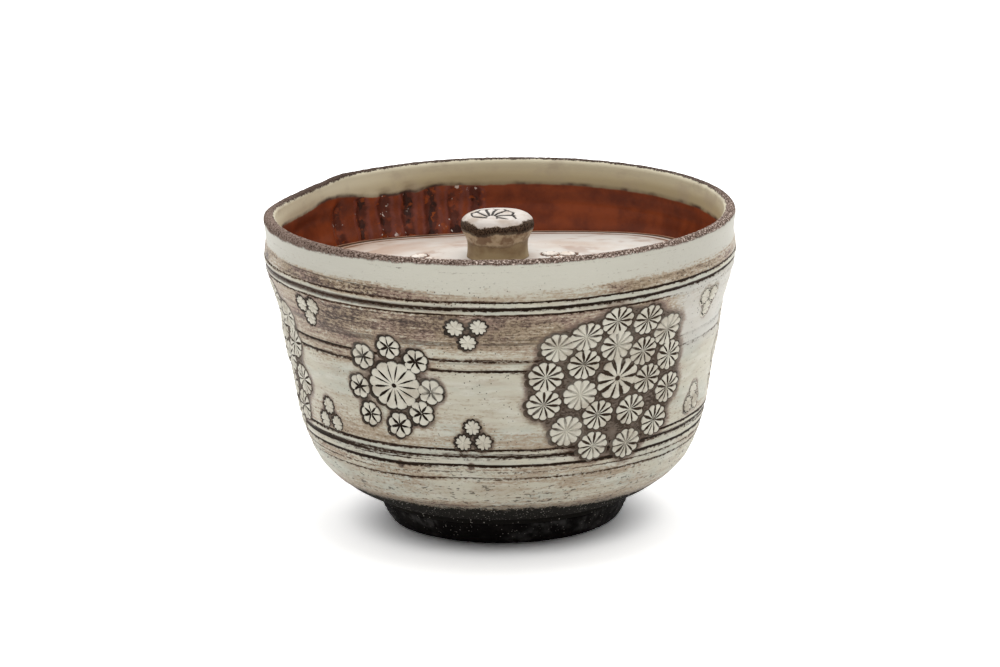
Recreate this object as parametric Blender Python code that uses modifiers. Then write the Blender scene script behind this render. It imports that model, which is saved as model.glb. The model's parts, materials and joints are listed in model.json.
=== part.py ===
# Lidded stoneware bowl with a pouring lip: a thrown bowl on a luted foot ring,
# and a drop-in lid with a mushroom knob.
# Metres, +Z up, with the origin on the table under the middle of the foot.
from math import atan2, cos, hypot, pi, radians, sin

import bmesh
import bpy
from mathutils import Matrix, Vector

# Slip joint between pieces that are luted together
JOINT_GAP = 0.0003

# Foot ring
FOOT_HEIGHT = 0.0046
FOOT_TOP_RADIUS = 0.0273
FOOT_BOTTOM_RADIUS = 0.0248
FOOT_WIDTH = 0.0055
FOOT_CHAMFER = 0.0006

# Outside of the bowl: radii from the base up, each with its rise from the one before
BASE_RADIUS = 0.0265
HEEL_RADIUS = 0.0390
HEEL_RISE = 0.0087
BELLY_RADIUS = 0.0431
BELLY_RISE = 0.0098
SHOULDER_RADIUS = 0.0471
SHOULDER_RISE = 0.0234
COLLAR_RADIUS = 0.0501
COLLAR_RISE = 0.0116
RIM_RADIUS = 0.0500
RIM_RISE = 0.0072
COLLAR_HOLLOW = 0.0006

# Clay thickness
WALL = 0.0031
RIM_THICKNESS = 0.0026
FLOOR_THICKNESS = 0.0045

# Ledge inside the wall that carries the lid
SEAT_ABOVE_SHOULDER = 0.0017
SEAT_BEARING = 0.0026
LEDGE_THICKNESS = 0.0020

# Pouring lip: the rim is drawn out at its middle and pinched in on both sides
LIP_ANGLE = radians(123)
LIP_SPREAD = radians(22)
LIP_SHOULDER_ANGLE = radians(33)
LIP_DEPTH = 0.0090
LIP_PULL = 0.0008
LIP_PINCH = 0.0010
LIP_DIP = 0.0004

# Straining grooves in the inside wall under the lip
STRAINER_COUNT = 7
STRAINER_PITCH = radians(8)
STRAINER_ABOVE_SEAT = 0.0016
STRAINER_LENGTH = 0.0105
STRAINER_CUTTER_RADIUS = 0.0020
STRAINER_DEPTH = 0.0009

# Lid
LID_CLEARANCE = 0.0012
LID_REST_GAP = 0.0003
LID_EDGE = 0.0044
LID_EDGE_ROUND = 0.0010
LID_BORDER = 0.0036
LID_DOME = 0.0031
LID_DOME_EASE = 0.35
LID_THICKNESS = 0.0042
LID_LAND_MARGIN = 0.0010

# The lid dried out of true: its edge rises at the two sides, more at the right, and sinks between
LID_WARP = 0.00165
LID_LEAN = 0.0006

# Knob
KNOB_STEM_RADIUS = 0.0065
KNOB_STEM_HEIGHT = 0.0036
KNOB_FLARE = 0.0002
KNOB_HEAD_RADIUS = 0.0078
KNOB_UNDER_HEIGHT = 0.0022
KNOB_EDGE_HEIGHT = 0.0020
KNOB_EDGE_INSET = 0.0006
KNOB_CROWN = 0.0014

# Fineness of the turned shapes
TURN_STEPS = 64
KNOB_STEPS = 40
CURVE_STEP = 0.0045
ARC_STEPS = 6
GROOVE_SIDES = 12
MERGE_DISTANCE = 0.00001
SHARP_ANGLE = radians(40)

# Heights that follow from the sizes above
base_z = FOOT_HEIGHT + JOINT_GAP
heel_z = base_z + HEEL_RISE
belly_z = heel_z + BELLY_RISE
shoulder_z = belly_z + SHOULDER_RISE
collar_z = shoulder_z + COLLAR_RISE
rim_z = collar_z + RIM_RISE
floor_z = base_z + FLOOR_THICKNESS
seat_z = shoulder_z + SEAT_ABOVE_SHOULDER
lid_z = seat_z + LID_REST_GAP
lid_top_z = lid_z + LID_EDGE + LID_DOME


def clear_scene():
    for obj in list(bpy.data.objects):
        bpy.data.objects.remove(obj, do_unlink=True)


def new_collection(name):
    collection = bpy.data.collections.new(name)
    bpy.context.scene.collection.children.link(collection)
    return collection


def clay(name, rgb, roughness):
    # Fired clay or glaze: the colour is sRGB as seen, turned into linear light
    material = bpy.data.materials.new(name)
    material.use_nodes = True
    shader = material.node_tree.nodes["Principled BSDF"]
    shader.inputs["Base Color"].default_value = [(c / 255) ** 2.2 for c in rgb] + [1]
    shader.inputs["Roughness"].default_value = roughness
    shader.inputs["Metallic"].default_value = 0
    return material


def smooth_curve(stations):
    # Smooth curve through (radius, height) stations, split finely enough for its length
    knots = [Vector(station) for station in stations]
    spans = [(b - a).length for a, b in zip(knots, knots[1:])]
    slopes = [(b - a) / span for a, b, span in zip(knots, knots[1:], spans)]
    tangents = [slopes[0]]
    for i in range(1, len(slopes)):
        blend = spans[i - 1] / (spans[i - 1] + spans[i])
        tangents.append(slopes[i - 1].lerp(slopes[i], blend))
    tangents.append(slopes[-1])
    points = []
    for i, span in enumerate(spans):
        count = max(2, round(span / CURVE_STEP))
        for step in range(count):
            t = step / count
            points.append(
                knots[i] * (1 + 2 * t) * (1 - t) ** 2
                + knots[i + 1] * t ** 2 * (3 - 2 * t)
                + tangents[i] * span * t * (1 - t) ** 2
                - tangents[i + 1] * span * t ** 2 * (1 - t)
            )
    points.append(knots[-1])
    return points


def offset_inward(points, thickness_at):
    # Points moved square to the curve, towards the axis, by the clay's thickness there
    inner = []
    for i, point in enumerate(points):
        along = points[min(i + 1, len(points) - 1)] - points[max(i - 1, 0)]
        outward = Vector((along.y, -along.x)).normalized()
        inner.append(point - outward * thickness_at(point.y))
    return inner


def half_turn(start, end):
    # Points of the half circle over the top from start to end, without its ends
    centre = (start + end) / 2
    half = start - centre
    up = Vector((-half.y, half.x))
    angles = [pi * step / ARC_STEPS for step in range(1, ARC_STEPS)]
    return [centre + half * cos(a) + up * sin(a) for a in angles]


def radius_at(points, height):
    # Radius of a rising curve at a height
    for low, high in zip(points, points[1:]):
        if low.y <= height <= high.y:
            return low.x + (high.x - low.x) * (height - low.y) / (high.y - low.y)
    return points[-1].x


def turn(name, profile, steps, collection, material, closed=False):
    # Solid of revolution: the profile starts at the top, or inside, and runs down the outside
    edges = [(i, i + 1) for i in range(len(profile) - 1)]
    if closed:
        edges.append((len(profile) - 1, 0))
    mesh = bpy.data.meshes.new(name)
    mesh.from_pydata([(p.x, 0, p.y) for p in profile], edges, [])
    obj = bpy.data.objects.new(name, mesh)
    collection.objects.link(obj)
    screw = obj.modifiers.new("turn", "SCREW")
    screw.steps = steps
    screw.render_steps = steps
    screw.use_merge_vertices = True
    screw.merge_threshold = MERGE_DISTANCE
    obj.data = bpy.data.meshes.new_from_object(obj.evaluated_get(bpy.context.evaluated_depsgraph_get()))
    obj.data.name = name
    obj.modifiers.clear()
    bpy.data.meshes.remove(mesh)
    obj.data.materials.append(material)
    obj.data.shade_smooth()
    obj.data.set_sharp_from_angle(angle=SHARP_ANGLE)
    return obj


def bump(offset, spread):
    # One at the middle, falling smoothly to nothing at the spread
    if abs(offset) >= spread:
        return 0
    return cos(pi * offset / spread / 2) ** 2


def pull_lip(mesh, crest_z):
    # Draw the rim out over the lip, pinch it in beside the lip and dip its edge
    for vertex in mesh.vertices:
        x, y, z = vertex.co
        radius = hypot(x, y)
        rise = (z - crest_z + LIP_DEPTH) / LIP_DEPTH
        if rise <= 0 or radius == 0:
            continue
        angle = (atan2(y, x) - LIP_ANGLE + pi) % (2 * pi) - pi
        middle = bump(angle, LIP_SPREAD)
        sides = bump(abs(angle) - LIP_SHOULDER_ANGLE, LIP_SPREAD)
        weight = rise * rise * (3 - 2 * rise)
        scale = 1 + weight * (LIP_PULL * middle - LIP_PINCH * sides) / radius
        vertex.co = (x * scale, y * scale, z - weight * LIP_DIP * middle)


def groove_cutter(index, inner_wall, collection):
    # Round bar laid along the inside wall, standing out of it except for the groove's depth
    angle = LIP_ANGLE + (index - (STRAINER_COUNT - 1) / 2) * STRAINER_PITCH
    low_z = seat_z + STRAINER_ABOVE_SEAT
    high_z = low_z + STRAINER_LENGTH
    inset = STRAINER_CUTTER_RADIUS - STRAINER_DEPTH
    low = Vector((radius_at(inner_wall, low_z) - inset, 0, low_z))
    high = Vector((radius_at(inner_wall, high_z) - inset, 0, high_z))
    mesh = bpy.data.meshes.new("groove_cutter")
    bm = bmesh.new()
    bmesh.ops.create_cone(bm, cap_ends=True, segments=GROOVE_SIDES, radius1=STRAINER_CUTTER_RADIUS,
                          radius2=STRAINER_CUTTER_RADIUS, depth=(high - low).length)
    lean = Vector((0, 0, 1)).rotation_difference(high - low).to_matrix().to_4x4()
    bm.transform(Matrix.Rotation(angle, 4, "Z") @ Matrix.Translation((low + high) / 2) @ lean)
    bm.to_mesh(mesh)
    bm.free()
    cutter = bpy.data.objects.new(f"groove_cutter_{index + 1}", mesh)
    cutter.hide_render = True
    cutter.display_type = "WIRE"
    collection.objects.link(cutter)
    return cutter


def bowl_walls():
    # Outside curve from base to rim, and the inside curve that follows it
    hollow_radius = (COLLAR_RADIUS + RIM_RADIUS) / 2 - COLLAR_HOLLOW
    outer = smooth_curve([
        (BASE_RADIUS, base_z),
        (HEEL_RADIUS, heel_z),
        (BELLY_RADIUS, belly_z),
        (SHOULDER_RADIUS, shoulder_z),
        (COLLAR_RADIUS, collar_z),
        (hollow_radius, (collar_z + rim_z) / 2),
        (RIM_RADIUS, rim_z),
    ])

    def thickness_at(height):
        t = min(max((height - collar_z) / RIM_RISE, 0), 1)
        return WALL + (RIM_THICKNESS - WALL) * t

    return outer, offset_inward(outer, thickness_at)


def make_bowl(outer, inner, lid_radius, parts, cutters):
    ledge_radius = lid_radius - SEAT_BEARING
    seat_wall = radius_at(inner, seat_z)
    ledge_z = seat_z - LEDGE_THICKNESS
    under_z = ledge_z - (seat_wall - ledge_radius)
    floor = [p for p in inner if floor_z < p.y < under_z]
    collar = [p for p in inner if p.y > lid_z]
    ledge = [
        Vector((radius_at(inner, under_z), under_z)),
        Vector((ledge_radius, ledge_z)),
        Vector((ledge_radius, seat_z)),
        Vector((seat_wall, seat_z)),
    ]
    rim = half_turn(outer[-1], inner[-1])
    profile = [Vector((0, floor_z)), Vector((radius_at(inner, floor_z), floor_z))]
    profile += floor + ledge + collar + rim[::-1] + outer[::-1] + [Vector((0, base_z))]
    glaze = clay("pale glaze", (183, 178, 163), 0.35)
    bowl = turn("bowl", profile, TURN_STEPS, parts, glaze)
    pull_lip(bowl.data, max(p.y for p in rim))
    for index in range(STRAINER_COUNT):
        cut = bowl.modifiers.new(f"groove {index + 1}", "BOOLEAN")
        cut.operation = "DIFFERENCE"
        cut.object = groove_cutter(index, inner, cutters)
    return bowl


def make_foot_ring(parts):
    top = Vector((FOOT_TOP_RADIUS, FOOT_HEIGHT))
    bottom = Vector((FOOT_BOTTOM_RADIUS, 0))
    profile = [
        top,
        bottom.lerp(top, FOOT_CHAMFER / FOOT_HEIGHT),
        bottom - Vector((FOOT_CHAMFER, 0)),
        Vector((FOOT_BOTTOM_RADIUS - FOOT_WIDTH + FOOT_CHAMFER, 0)),
        Vector((FOOT_BOTTOM_RADIUS - FOOT_WIDTH, FOOT_CHAMFER)),
        Vector((FOOT_BOTTOM_RADIUS - FOOT_WIDTH, FOOT_HEIGHT)),
    ]
    bare_clay = clay("bare black clay", (30, 29, 27), 0.85)
    return turn("foot_ring", profile, TURN_STEPS, parts, bare_clay, closed=True)


def lid_fall(radius, land_radius, border_radius):
    # Share of the way down the lid's top: none on the flat middle, all on the flat border
    t = min(max((radius - land_radius) / (border_radius - land_radius), 0), 1)
    return t - LID_DOME_EASE * sin(2 * pi * t) / (2 * pi)


def make_lid(lid_radius, parts):
    # Heights here are above the lid's own origin, on the axis at its underside
    land_radius = KNOB_STEM_RADIUS + KNOB_FLARE + LID_LAND_MARGIN
    border_radius = lid_radius - LID_BORDER
    shoulder_radius = lid_radius - LID_EDGE_ROUND
    hollow_radius = lid_radius - SEAT_BEARING - LID_CLEARANCE
    hollow = LID_EDGE + LID_DOME - LID_THICKNESS

    def top_at(radius):
        return LID_EDGE + LID_DOME * (1 - lid_fall(radius, land_radius, border_radius))

    def underside_at(radius):
        return hollow * max(0, 1 - (radius / hollow_radius) ** 2)

    steps = max(4, round((border_radius - land_radius) / CURVE_STEP))
    shares = [step / steps for step in range(steps + 1)]
    slope = [land_radius + (border_radius - land_radius) * t for t in shares]
    top = [Vector((radius, top_at(radius))) for radius in [0] + slope + [shoulder_radius]]
    edge = [
        Vector((lid_radius, LID_EDGE - LID_EDGE_ROUND)),
        Vector((lid_radius, LID_EDGE_ROUND)),
        Vector((shoulder_radius, 0)),
    ]
    underside = [Vector((hollow_radius * (1 - t), underside_at(hollow_radius * (1 - t)))) for t in shares]
    lid = turn("lid", top + edge + underside, TURN_STEPS, parts, clay("lid glaze", (214, 204, 194), 0.4))
    # The bend is whole at the top and fades to nothing at the underside, which stays level on its seat
    for vertex in lid.data.vertices:
        x, y, z = vertex.co
        radius = hypot(x, y)
        angle = atan2(y, x)
        low = underside_at(radius)
        share = (z - low) / (top_at(radius) - low)
        bend = LID_WARP * cos(2 * angle) + LID_LEAN * cos(angle)
        vertex.co.z += share * bend * lid_fall(radius, land_radius, border_radius)
    lid.location = (0, 0, lid_z)
    return lid


def make_knob(lid, parts):
    # Heights here are above the knob's own foot, on the lid's flat middle
    head_z = KNOB_STEM_HEIGHT + KNOB_UNDER_HEIGHT
    crown_z = head_z + KNOB_EDGE_HEIGHT
    side = smooth_curve([
        (KNOB_STEM_RADIUS + KNOB_FLARE, 0),
        (KNOB_STEM_RADIUS, KNOB_STEM_HEIGHT / 2),
        (KNOB_STEM_RADIUS, KNOB_STEM_HEIGHT),
        (KNOB_HEAD_RADIUS, head_z),
        (KNOB_HEAD_RADIUS - KNOB_EDGE_INSET, crown_z),
    ])
    top_radius = side[-1].x
    crown = []
    for step in range(1, ARC_STEPS):
        a = pi / 2 * step / ARC_STEPS
        crown.append(Vector((top_radius * cos(a), crown_z + KNOB_CROWN * sin(a))))
    profile = [Vector((0, crown_z + KNOB_CROWN))] + crown[::-1] + side[::-1] + [Vector((0, 0))]
    knob = turn("lid_knob", profile, KNOB_STEPS, parts, clay("knob glaze", (205, 192, 180), 0.45))
    knob.parent = lid
    knob.location = (0, 0, lid_top_z - lid_z + JOINT_GAP)
    return knob


clear_scene()
parts = new_collection("lidded stoneware bowl")
cutters = new_collection("cutters")
outer, inner = bowl_walls()
# The lid has to pass the narrowest place between its seat and the pinched rim
throat = min(p.x for p in inner if p.y >= seat_z)
throat = min(throat, radius_at(inner, seat_z), inner[-1].x - LIP_PINCH)
lid_radius = throat - LID_CLEARANCE
make_bowl(outer, inner, lid_radius, parts, cutters)
make_foot_ring(parts)
make_knob(make_lid(lid_radius, parts), parts)
bpy.context.view_layer.update()
print(f"lid radius {lid_radius * 1000:.2f}, seat {seat_z * 1000:.2f}, lid top {lid_top_z * 1000:.2f} mm")
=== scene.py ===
import json
from math import cos, pi, radians, sin

import bpy
import numpy as np
from mathutils import Matrix, Vector

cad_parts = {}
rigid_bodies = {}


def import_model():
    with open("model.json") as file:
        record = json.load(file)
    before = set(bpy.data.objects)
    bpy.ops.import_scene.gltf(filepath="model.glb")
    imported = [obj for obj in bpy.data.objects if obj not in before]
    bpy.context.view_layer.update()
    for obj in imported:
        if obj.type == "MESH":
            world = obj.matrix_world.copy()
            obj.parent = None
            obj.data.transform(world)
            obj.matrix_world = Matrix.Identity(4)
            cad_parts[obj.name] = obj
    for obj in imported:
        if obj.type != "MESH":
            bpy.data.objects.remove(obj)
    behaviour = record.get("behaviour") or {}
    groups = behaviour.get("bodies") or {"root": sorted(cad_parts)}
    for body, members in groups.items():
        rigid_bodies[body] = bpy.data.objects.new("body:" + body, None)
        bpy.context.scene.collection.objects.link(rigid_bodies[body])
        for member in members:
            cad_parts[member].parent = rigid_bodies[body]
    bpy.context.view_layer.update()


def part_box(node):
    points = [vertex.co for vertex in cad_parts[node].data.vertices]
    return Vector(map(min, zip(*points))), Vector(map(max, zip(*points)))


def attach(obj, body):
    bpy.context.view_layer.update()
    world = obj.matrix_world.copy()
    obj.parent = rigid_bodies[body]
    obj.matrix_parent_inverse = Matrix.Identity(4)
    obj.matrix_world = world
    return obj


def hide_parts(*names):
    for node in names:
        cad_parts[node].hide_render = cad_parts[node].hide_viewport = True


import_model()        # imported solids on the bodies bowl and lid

mm = 0.001
scene = bpy.context.scene
scene.view_settings.view_transform = "Standard"


# Small helpers

def tone(red, green, blue):
    # a colour as seen on screen, 0 to 255, as linear light
    channels = [c / 255 for c in (red, green, blue)]
    linear = [c / 12.92 if c <= 0.04045 else ((c + 0.055) / 1.055) ** 2.4 for c in channels]
    return (*linear, 1)


def tones(**colours):
    return {name: tone(*seen) for name, seen in colours.items()}


def smooth(low, high, value):
    t = np.clip((value - low) / (high - low), 0, 1)
    return t * t * (3 - 2 * t)


def bump(offset, spread):
    # one in the middle, nothing past the spread
    return np.where(np.abs(offset) < spread, np.cos(pi * offset / spread / 2) ** 2, 0)


def wander(theta, seed, waves=(2, 3, 5, 8, 13)):
    # slow uneven wave round the pot, about -1 to 1, that closes on itself
    draw = np.random.default_rng(seed)
    total = sum(np.cos(n * theta + draw.uniform(0, 2 * pi)) / n ** 0.6 for n in waves)
    return total / sum(1 / n ** 0.6 for n in waves) * 1.6


def fromAngle(theta, centre):
    # signed angle from a centre, across the seam
    return (theta - centre + pi) % (2 * pi) - pi


def curveThrough(stations, perSpan=30):
    # smooth curve through (radius, height) stations
    knots = np.array(stations, float)
    spans = np.linalg.norm(np.diff(knots, axis=0), axis=1)
    slopes = np.diff(knots, axis=0) / spans[:, None]
    blend = (spans[:-1] / (spans[:-1] + spans[1:]))[:, None]
    tangents = np.vstack([slopes[:1], slopes[:-1] * (1 - blend) + slopes[1:] * blend, slopes[-1:]])
    points = []
    for i, span in enumerate(spans):
        t = np.linspace(0, 1, perSpan, endpoint=False)[:, None]
        points.append(knots[i] * (1 + 2 * t) * (1 - t) ** 2 + knots[i + 1] * t ** 2 * (3 - 2 * t)
                      + tangents[i] * span * t * (1 - t) ** 2 - tangents[i + 1] * span * t ** 2 * (1 - t))
    return np.vstack(points + [knots[-1:]])


def outward(rows):
    # unit normals of a profile that runs up the outside
    along = np.gradient(rows, axis=0)
    return np.stack([along[:, 1], -along[:, 0]], 1) / np.linalg.norm(along, axis=1)[:, None]


def spin(rows, columns):
    # angles round the axis, and each row's radius and height repeated at all of them
    theta = np.linspace(0, 2 * pi, columns, endpoint=False)
    return theta, np.repeat(rows[:, :1], columns, axis=1), np.repeat(rows[:, 1:], columns, axis=1)


def addObject(name, data):
    made = bpy.data.objects.new(name, data)
    scene.collection.objects.link(made)
    return made


def addMarks(mesh, marks):
    # values per vertex that the finishes read
    for key, values in marks.items():
        layer = mesh.attributes.new(key, "FLOAT", "POINT")
        layer.data.foreach_set("value", np.asarray(values, np.float32))


def fan(middle, ring):
    # triangles from one point to a closed ring of points
    return [(middle, a, b) for a, b in zip(ring.tolist(), np.roll(ring, -1).tolist())]


def revolve(name, radius, height, marks, material, ring=False, shift=0):
    # turned rows in mm, from the underside up the outside: a ring closes on itself, and any other shape
    # ends in one point at its first row and one at its last
    rows, columns = radius.shape
    theta = np.linspace(0, 2 * pi, columns, endpoint=False)
    points = np.stack([radius * np.cos(theta) + shift, radius * np.sin(theta), height], -1) * mm
    body = slice(0, rows) if ring else slice(1, rows - 1)
    vertices = points[body].reshape(-1, 3)
    index = np.arange(len(vertices)).reshape(-1, columns)
    above = np.roll(index, -1, axis=0)
    grid = np.stack([index, np.roll(index, -1, axis=1), np.roll(above, -1, axis=1), above], -1)
    faces = (grid if ring else grid[:-1]).reshape(-1, 4).tolist()
    ends = []
    if not ring:
        low = len(vertices)
        vertices = np.vstack([vertices, points[0].mean(axis=0), points[-1].mean(axis=0)])
        faces += fan(low, index[0][::-1]) + fan(low + 1, index[-1])
        ends = [0, -1]
    mesh = bpy.data.meshes.new(name)
    mesh.from_pydata(vertices.tolist(), [], faces)
    addMarks(mesh, {key: np.append(values[body], [values[k, 0] for k in ends])
                    for key, values in marks.items()})
    mesh.materials.append(material)
    mesh.shade_smooth()
    return addObject(name, mesh)


# Node graphs: sockets that take part in Python sums

class Sock:
    def __init__(self, graph, out):
        self.graph = graph
        self.out = out

    def sum(self, operation, a, b):
        return self.graph.node("ShaderNodeMath", {"operation": operation}, {0: a, 1: b})

    def most(self, other):
        return self.sum("MAXIMUM", self, other)

    def stray(self, amount):
        # how far a noise strays from its middle
        return (self - 0.5) * amount


for sign, operation in (("add", "ADD"), ("sub", "SUBTRACT"), ("mul", "MULTIPLY"), ("truediv", "DIVIDE")):
    setattr(Sock, f"__{sign}__", lambda self, other, kind=operation: self.sum(kind, self, other))
    setattr(Sock, f"__r{sign}__", lambda self, other, kind=operation: self.sum(kind, other, self))


class Graph:
    def __init__(self, tree):
        self.tree = tree

    def node(self, kind, settings=None, inputs=None, out=0):
        made = self.tree.nodes.new(kind)
        for key, value in (settings or {}).items():
            if key == "stops":
                ramp = made.color_ramp.elements
                while len(ramp) < len(value):
                    ramp.new(0.5)
                for stop, (place, colour) in zip(ramp, value):
                    stop.position = place
                    stop.color = colour
            else:
                setattr(made, key, value)
        for key, value in (inputs or {}).items():
            self.feed(made.inputs[key], value)
        return Sock(self, made.outputs[out])

    def feed(self, socket, value):
        if isinstance(value, Sock):
            self.tree.links.new(value.out, socket)
        else:
            socket.default_value = value

    def split(self, vector):
        parted = self.node("ShaderNodeSeparateXYZ", None, {0: vector})
        return [Sock(self, out) for out in parted.out.node.outputs]


# Thin glaze, and the shine of what it covers
coat = {"weight": 0.32, "roughness": 0.34, "underneath": 0.05}


class Finish(Graph):
    # a Principled material painted by its nodes, with colours of its own
    def __init__(self, name, colours=None):
        self.colours = colours or {}
        self.material = bpy.data.materials.new(name)
        self.material.use_nodes = True
        super().__init__(self.material.node_tree)
        self.bsdf = self.tree.nodes["Principled BSDF"]
        self.place = self.node("ShaderNodeTexCoord", out="Object")
        self.right, self.back, self.height = [side / mm for side in self.split(self.place)]

    def stretched(self, across, up):
        # object coordinates in cells per metre, across and up the pot
        return self.node("ShaderNodeVectorMath", {"operation": "MULTIPLY"},
                         {0: self.place, 1: (across, across, up)})

    def noise(self, across, up, detail=3, roughness=0.55):
        return self.node("ShaderNodeTexNoise", None, {"Vector": self.stretched(across, up), "Scale": 1,
                                                      "Detail": detail, "Roughness": roughness})

    def specks(self, density, size):
        # one in the middle of scattered dots
        cell = self.node("ShaderNodeTexVoronoi", None, {"Vector": self.place, "Scale": density})
        return 1 - self.fade(size * 0.4, size, cell)

    def fade(self, low, high, value):
        return self.node("ShaderNodeMapRange", {"interpolation_type": "SMOOTHSTEP"},
                         {"Value": value, "From Min": low, "From Max": high})

    def between(self, rise, fall, value):
        # up over the first pair of values, down again over the second
        return self.fade(*rise, value) * (1 - self.fade(*fall, value))

    def mark(self, name):
        return self.node("ShaderNodeAttribute", {"attribute_name": name}, None, "Fac")

    def mix(self, factor, a, b):
        # of colours made by nodes or called by name
        a, b = [self.colours.get(colour, colour) for colour in (a, b)]
        return self.node("ShaderNodeMix", {"data_type": "RGBA"}, {0: factor, 6: a, 7: b}, 2)

    def coats(self, colour, *layers):
        # pairs of cover and colour, laid over one another
        for cover, over in layers:
            colour = self.mix(cover, colour, over)
        return colour

    def blend(self, factor, a, b):
        # mix of plain values
        return self.node("ShaderNodeMix", None, {0: factor, 2: a, 3: b})

    def relief(self, height, depth):
        # depth in mm
        bumped = self.node("ShaderNodeBump", None, {"Height": height, "Distance": depth * mm, "Strength": 1})
        self.feed(self.bsdf.inputs["Normal"], bumped)

    def paint(self, colour, roughness, gloss=0.0):
        # a thin glaze lies on top where there is gloss
        self.feed(self.bsdf.inputs["Base Color"], colour)
        self.feed(self.bsdf.inputs["Roughness"], roughness)
        self.feed(self.bsdf.inputs["Coat Weight"], gloss * coat["weight"])
        self.bsdf.inputs["Coat Roughness"].default_value = coat["roughness"]
        self.bsdf.inputs["Specular IOR Level"].default_value = coat["underneath"]
        return self.material


# Camera at the photo's angle: sizes in metres, with the focal length in picture widths

view = {
    "focalWidths": 4.588,
    "elevation": radians(14.506),
    "distance": 0.9778,
    "aimHeight": 0.0392,
    "sideways": -0.00042,
    "roll": radians(1.02),
}


def makeCamera():
    e = view["elevation"]
    forward = Vector((0, cos(e), -sin(e)))
    right = Vector((1, 0, 0))
    up = Vector((0, sin(e), cos(e)))
    turnedRight = right * cos(view["roll"]) - up * sin(view["roll"])
    turnedUp = up * cos(view["roll"]) + right * sin(view["roll"])
    data = bpy.data.cameras.new("photo view")
    data.sensor_fit = "HORIZONTAL"
    data.lens = view["focalWidths"] * data.sensor_width
    camera = addObject("photo view", data)
    pose = Matrix((turnedRight, turnedUp, -forward)).transposed().to_4x4()
    pose.translation = Vector((view["sideways"], 0, view["aimHeight"])) - forward * view["distance"]
    camera.matrix_world = pose
    scene.camera = camera


makeCamera()
print("camera placed")


# Flower stamps: where each die is pressed into the wall, in mm along the wall and up it

stamps = {
    "repeats": [0, radians(120), radians(243.5)],     # laid out
    "wallRadius": 45.6,           # distances along the wall are measured at this radius
    "clusterAngle": radians(-59.2),
    "clusterHeight": 39.6,
    "cluster": [                  # chrysanthemums round one open flower: along, up and how faint
        (-1.5, 12.9, 0.1), (5.8, 11.8, 0.4), (12, 8.5, 0.6),
        (-13.5, 8.3, 0.7), (-7.7, 10.1, 0.45), (-0.8, 7.4, 0.5), (6, 5.1, 0.4), (13.4, 2.7, 0.3),
        (-15.7, 1.9, 0.1), (-8, 4.2, 0.15), (7.7, -1.4, 0.2),
        (-16.1, -4.3, 0.3), (-8.5, -2.6, 0.5), (14.1, -5, 0.1),
        (-11.2, -10.3, 0.65), (-4.2, -7.6, 0.2), (4, -7.6, 0.15), (11.1, -11.4, 0.1),
        (-4.7, -14.4, 0.45), (3.8, -15.1, 0.4),
    ],
    "rosetteAngle": radians(-119.1),
    "rosetteHeight": 39.0,
    "rosette": [                  # small flowers round one wheel: along, up and how faint
        (8.1, -0.8, 0.6), (5.3, 5.9, 0), (-0.5, 8.3, 0.1), (-7.0, 5.4, 0.55),
        (-9.0, -1.5, 0.5), (-7.3, -7.2, 0), (0.1, -8.8, 0), (5.5, -5.7, 0.3),
    ],
    "plums": [                    # in threes: degrees, height, which way the odd one points, spacing
        (-98.5, 51.9, -1, 2.25), (-98.2, 28.4, 1, 2.2), (-145.5, 52.2, -1, 1.8), (-145.3, 28.6, 1, 2.3),
        (-27.6, 51.8, -1, 1.9), (-26.6, 29.6, 1, 1.9), (21.5, 51.9, -1, 2.2), (21.8, 28.4, 1, 2.2),
        (94.5, 52.3, -1, 2.0), (93.7, 28.7, 1, 2.1), (142.5, 51.9, -1, 2.2), (142.8, 28.4, 1, 2.2),
    ],
    "shake": 0.1,                 # unsteady hand: place in mm, turn and range of sizes
    "turnShake": 0.12,
    "sizes": (0.96, 1.04),
    "faintest": 0.4,              # where it isn't listed
    "seed": 5,
}

# The dies: radius, petals, depth of the scallops, notch in each petal's tip, slits between petals (root,
# widest place between root and tip, tip, half width), dark eye if above nothing, reach of the dark ground,
# how much wider the die was rolled along the curve, how it was held and how proud its petals stand
dieTraits = ("radius", "petals", "scallop", "notch", "slit", "eye", "smear", "rolled", "turn", "proud")
dies = {
    "chrysanthemum": (3.25, 11, 0.23, 0, (0.0, 0.58, 1.1, 0.26), -0.1, 2.5, 1.13, 0.2, 1),
    "openFlower": (4.6, 10, 0.26, 0, (0.2, 0.6, 1.2, 0.46), 0.13, 2.1, 1.1, 0.5, 1.4),
    "wheelFlower": (5.4, 13, 0.13, 0, (0.24, 0.52, 0.95, 0.25), 0.10, 1.4, 1.12, 0.1, 1),
    "smallFlower": (2.72, 7, 0.25, 0, (0.0, 0.36, 1.0, 0.27), -0.1, 1.6, 1.0, 0.3, 1),
    "plum": (1.8, 5, 0.42, 0.22, (0.5, 0.8, 1.2, 0.12), -0.1, 1.3, 1.0, 0.3, 1),
}
dies = {name: dict(zip(dieTraits, traits)) for name, traits in dies.items()}
dieNames = list(dies)


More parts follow.
